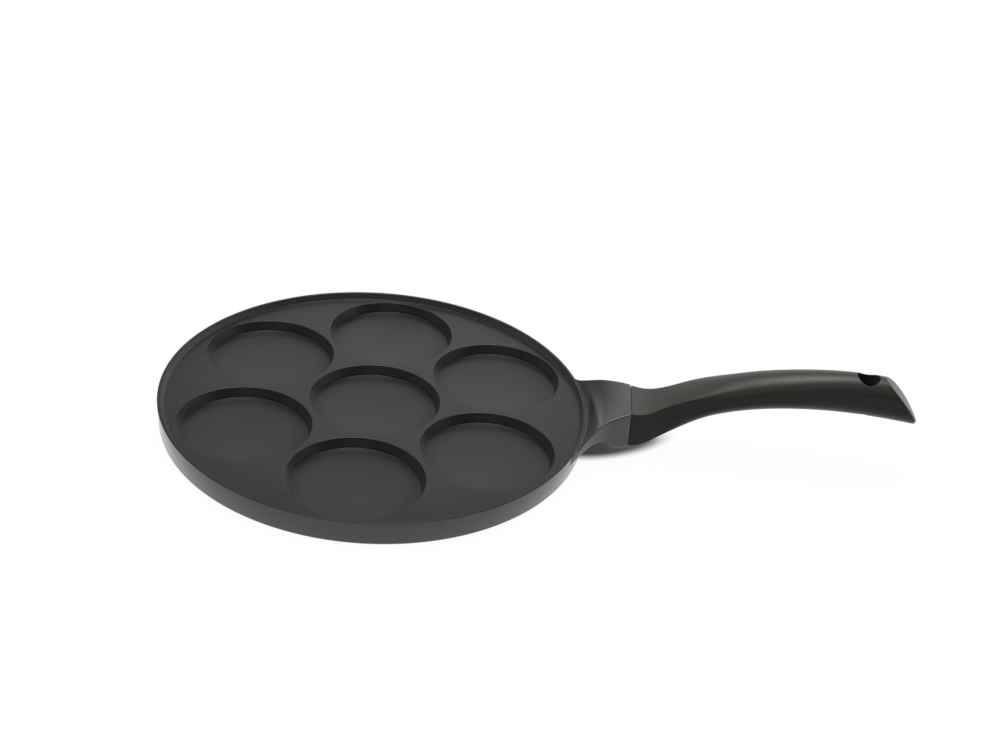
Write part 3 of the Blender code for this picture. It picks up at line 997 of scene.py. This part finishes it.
castFinish = {
    # non-stick coating of the web, the wells and the rim's inner side
    "insideColour": (0.0082, 0.0091, 0.0088),
    "insidePaler": (0.0104, 0.0114, 0.0110),
    "paintedCornerShade": (0.0008, 0.0009, 0.0009),  # painted shade: the floors darken towards the wells' walls, which shade them
    "wallPaintedLight": (0.0200, 0.0213, 0.0208),  # painted light: paler on the wells' steep walls
    "rimPaintedLight": (0.0330, 0.0350, 0.0342),  # painted light: paler on the rim's inner side
    "paintedRimShadeFrom": 92.0,  # from this radius on, painted shade darkens the coating towards the rim, mm
    # share of that painted shade at the rim's foot
    "paintedRimShade": 0.65,
    "insideRoughness": 0.30,
    # lacquer of the lip, the outer wall, the bracket and the underside
    "outsideColour": (0.0080, 0.0084, 0.0083),
    "outsidePaler": (0.0100, 0.0105, 0.0103),
    "outsideRoughness": 0.28,
    "lacquer": 0.80,  # weight of the lacquer's clear layer
    "lacquerRoughness": 0.22,
    # where a mask starts and ends to rise, in mm past an edge of the casting
    "lipTop": (-0.7, -0.3),
    "lipOuter": (-0.05, 0.15),
    "lipInner": (-0.15, 0.05),
    "underside": (1.0, 3.0),  # above the base
    "floorDarkens": (-13.0, 0.0),
    "floorEnds": (0.0, 0.3),
    "wallStarts": (0.0, 0.5),
    "wallEnds": (-0.3, 0.0),
    "rimStarts": (-0.2, 0.2),
    # both coats
    "specular": 0.40,
    "tint": (0.93, 1.0, 0.97),  # of the mirrored light
    "blotches": 18.0,  # noise scale of the broad variation, per metre
    "blotchDetail": 3.0,
    "blotchRoughness": 0.05,
    "grain": 2600.0,  # noise scale of the fine grain, per metre
    "bump": 0.12,
}


def nearestWell(graph):
    # distance in plan from the middle of the nearest well
    def distance(operation, sockets):
        return graph.node("ShaderNodeVectorMath", {"operation": operation}, sockets, "Value")

    plan = {0: objectPlace(graph), 1: (1, 1, 0)}
    flat = graph.node("ShaderNodeVectorMath", {"operation": "MULTIPLY"}, plan, "Vector")
    nearest = distance("LENGTH", {0: flat})
    circle = castPlate["wellCircle"] * mm
    for k in range(castPlate["wellCount"]):
        angle = math.radians(castPlate["wellTurn"] + 360 / castPlate["wellCount"] * k)
        middle = (circle * math.cos(angle), circle * math.sin(angle), 0)
        nearest = nearest.math("MINIMUM", distance("DISTANCE", {0: flat, 1: middle}))
    return nearest


def castCoating():
    def build(graph):
        f, p = castFinish, castPlate

        def past(value, edge, mask):
            # 0 before the casting's edge and 1 past it
            start, end = f[mask]
            return ramp(graph, value, (edge + start) * mm, (edge + end) * mm)

        place = graph.node("ShaderNodeSeparateXYZ", None, {0: objectPlace(graph)})
        x, y, z = (place.output(axis) for axis in "XYZ")
        reach = (x * x + y * y) ** 0.5
        onLip = past(z, p["rimHeight"], "lipTop") * (1 - past(reach, panRadius, "lipOuter"))
        beyondLip = past(reach, p["lipInner"], "lipInner") * (1 - onLip)
        outside = beyondLip.math("MAXIMUM", 1 - past(z, 0.0, "underside"))

        nearest, floor = nearestWell(graph), p["wellFloor"]
        # painted shade: each well's floor is darkened towards its wall
        corner = past(nearest, floor, "floorDarkens") * (1 - past(nearest, floor, "floorEnds"))
        # painted shade: the web is darkened towards the rim
        paintedRimShade = ramp(graph, reach, f["paintedRimShadeFrom"] * mm, p["rimFoot"] * mm) * f["paintedRimShade"]
        # painted light: the wells' steep walls are made paler
        onWall = past(nearest, floor, "wallStarts")
        onWall = onWall * (1 - past(nearest, p["wellMouth"], "wallEnds"))
        # painted light: the rim's inner side is made paler
        onRim = past(reach, p["rimBend"], "rimStarts") * (1 - onLip)

        broad = noise(graph, f["blotches"], f["blotchDetail"])
        inner = mixColour(graph, broad, f["insideColour"], f["insidePaler"])
        inner = mixColour(graph, corner.math("MAXIMUM", paintedRimShade), inner, f["paintedCornerShade"])
        inner = mixColour(graph, onWall, inner, f["wallPaintedLight"])
        inner = mixColour(graph, onRim, inner, f["rimPaintedLight"])
        outer = mixColour(graph, broad, f["outsideColour"], f["outsidePaler"])
        rough = f["insideRoughness"] + outside * (f["outsideRoughness"] - f["insideRoughness"])
        return {
            "Base Color": mixColour(graph, outside, inner, outer),
            "Roughness": rough + (broad - 0.5) * f["blotchRoughness"],
            "Specular IOR Level": f["specular"],
            "Specular Tint": (*f["tint"], 1.0),
            "Coat Weight": outside * f["lacquer"],
            "Coat Roughness": f["lacquerRoughness"],
            "Normal": grainBump(graph, f),
        }

    return principledMaterial("castCoating", build)


gripFinish = {
    "colour": (0.0350, 0.0364, 0.0315),
    "paler": (0.0400, 0.0414, 0.0362),
    "roughness": 0.32,
    "specular": 0.20,
    "tint": (0.97, 1.0, 0.92),
    "blotches": 25.0,
    "blotchDetail": 3.0,
    "blotchRoughness": 0.06,
    "grain": 3200.0,
    "bump": 0.15,
}


def gripPlastic():
    def build(graph):
        f = gripFinish
        broad = noise(graph, f["blotches"], f["blotchDetail"])
        return {
            "Base Color": mixColour(graph, broad, f["colour"], f["paler"]),
            "Roughness": f["roughness"] + (broad - 0.5) * f["blotchRoughness"],
            "Specular IOR Level": f["specular"],
            "Specular Tint": (*f["tint"], 1.0),
            "Normal": grainBump(graph, f),
        }

    return principledMaterial("gripPlastic", build)


steelFinish = {
    "colour": (0.50, 0.51, 0.53),
    "paler": (0.60, 0.60, 0.61),
    "roughness": 0.34,
    "blotches": 300.0,
    "blotchDetail": 4.0,
    "blotchRoughness": 0.12,
}


def zincSteel():
    def build(graph):
        f = steelFinish
        broad = noise(graph, f["blotches"], f["blotchDetail"])
        return {
            "Base Color": mixColour(graph, broad, f["colour"], f["paler"]),
            "Metallic": 1.0,
            "Roughness": f["roughness"] + (broad - 0.5) * f["blotchRoughness"],
        }

    return principledMaterial("zincSteel", build)


# Studio
studio = {
    "floorSize": 60.0,  # metres
    "floorDrop": 0.05,  # mm under the base
    "shadedPaper": 0.72,  # the floor's grey where its shadow is kept, a painted shade that deepens that real shadow; elsewhere it is white
    "floorBounce": 0.08,  # the grey that the floor throws back as soft light
    "shadowDepth": 0.99,
    "shadowKept": 0.035,  # share of the shadow away from the bracket
    "shadowPlace": (140.0, 10.0),  # mm, round here the shadow is kept whole
    "shadowTurn": 26.0,  # degrees
    "shadowReach": (51.0, 28.0),  # mm, along and across that direction
    "shadowEdge": (0.8, 1.12),  # share of the reach where it begins and ends to fade
    "softBoxes": (  # azimuth from +Y towards +X and height in degrees, narrowness, strength
        (0, 90, 50, 13.5),
        (0, 75, 50, 8.0),
        (90, 73, 30, 2.5),
        (60, 72, 40, 4.0),
        (-40, 60, 30, 0.9),
        (-90, 64, 16, 2.6),
        (0, 35, 12, 0.52),
        (40, 35, 12, 0.53),
        (-40, 35, 12, 0.07),
        (-90, 35, 12, 0.84),
        (0, 12, 10, 0.8),
        (-40, 12, 10, 0.25),
        (36, 8, 14, 2.3),
        (80, 12, 10, 0.9),
        (180, 22, 8, 0.25),
        (-80, 12, 10, 0.06),
    ),
    "evenLight": 0.02,
}


def paperFloor():
    material = bpy.data.materials.new("paperFloor")
    material.use_nodes = True
    material.node_tree.nodes.clear()
    graph = Graph(material.node_tree)

    def matt(grey):
        return graph.node("ShaderNodeBsdfDiffuse", None, {"Color": (grey, grey, grey, 1.0)})

    def mixed(share, first, second):
        return graph.node("ShaderNodeMixShader", None, {0: share, 1: first, 2: second})

    place = graph.node("ShaderNodeSeparateXYZ", None, {0: objectPlace(graph)})
    middleX, middleY = studio["shadowPlace"]
    east, north = place.output("X") - middleX * mm, place.output("Y") - middleY * mm
    turn = math.radians(studio["shadowTurn"])
    reachAlong, reachAcross = studio["shadowReach"]
    along = (east * math.cos(turn) + north * math.sin(turn)) / (reachAlong * mm)
    across = (north * math.cos(turn) - east * math.sin(turn)) / (reachAcross * mm)
    away = ramp(graph, (along * along + across * across) ** 0.5, *studio["shadowEdge"])
    lifted = 1 - (1 - away * (1 - studio["shadowKept"])) * studio["shadowDepth"]
    bright = graph.node("ShaderNodeEmission", None, {"Strength": 1.0})
    # real shadow, deepened by painted shade: round the bracket the floor is a grey paper under its
    # own shadow
    paper = mixed(lifted, matt(studio["shadedPaper"]), bright)
    path = graph.node("ShaderNodeLightPath")
    seen = path.output("Is Camera Ray") + path.output("Is Glossy Ray")
    seen = seen + path.output("Is Transmission Ray")
    surface = mixed(seen, matt(studio["floorBounce"]), paper)
    graph.node("ShaderNodeOutputMaterial", None, {"Surface": surface})
    return material


def addFloor():
    half, z = studio["floorSize"] / 2 / mm, -studio["floorDrop"]
    points = [(-half, -half, z), (half, -half, z), (half, half, z), (-half, half, z)]
    floor = meshObject("floor", points, [(0, 1, 2, 3)])
    floor.data.materials.append(paperFloor())


def addWorld():
    world = bpy.data.worlds.new("studio")
    world.use_nodes = True
    world.node_tree.nodes.clear()
    graph = Graph(world.node_tree)
    direction = graph.node("ShaderNodeTexCoord", output="Generated")
    level = studio["evenLight"]
    for azimuth, height, narrowness, strength in studio["softBoxes"]:
        a, h = math.radians(azimuth), math.radians(height)
        axis = (math.sin(a) * math.cos(h), math.cos(a) * math.cos(h), math.sin(h))
        dot = {"operation": "DOT_PRODUCT"}
        facing = graph.node("ShaderNodeVectorMath", dot, {0: direction, 1: axis}, "Value")
        level = facing.math("MAXIMUM", 0.0) ** narrowness * strength + level
    background = graph.node("ShaderNodeBackground", None, {"Strength": level})
    graph.node("ShaderNodeOutputWorld", None, {"Surface": background})
    bpy.context.scene.world = world


addCamera()
coating, plastic, steel = castCoating(), gripPlastic(), zincSteel()
body = makeCastBody(coating)
print("stage: cast body,", len(body.data.polygons), "faces")
grip = makeGrip(plastic)
print("stage: grip,", len(grip.data.polygons), "faces")
screw, washer = makeScrew(steel), makeWasher(steel)
print("stage: screw and washer,", len(screw.data.polygons) + len(washer.data.polygons), "faces")
for piece, node, slotName in (
    (body, "pan_body", "coated_casting"),
    (grip, "handle", "handle_moulding"),
    (screw, "handle_screw", "fastener_steel"),
    (washer, "screw_washer", "fastener_steel"),
):
    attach(piece, "root")
    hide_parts(node)
addFloor()
addWorld()
bpy.context.scene.view_settings.view_transform = "Standard"
print("stage: studio")
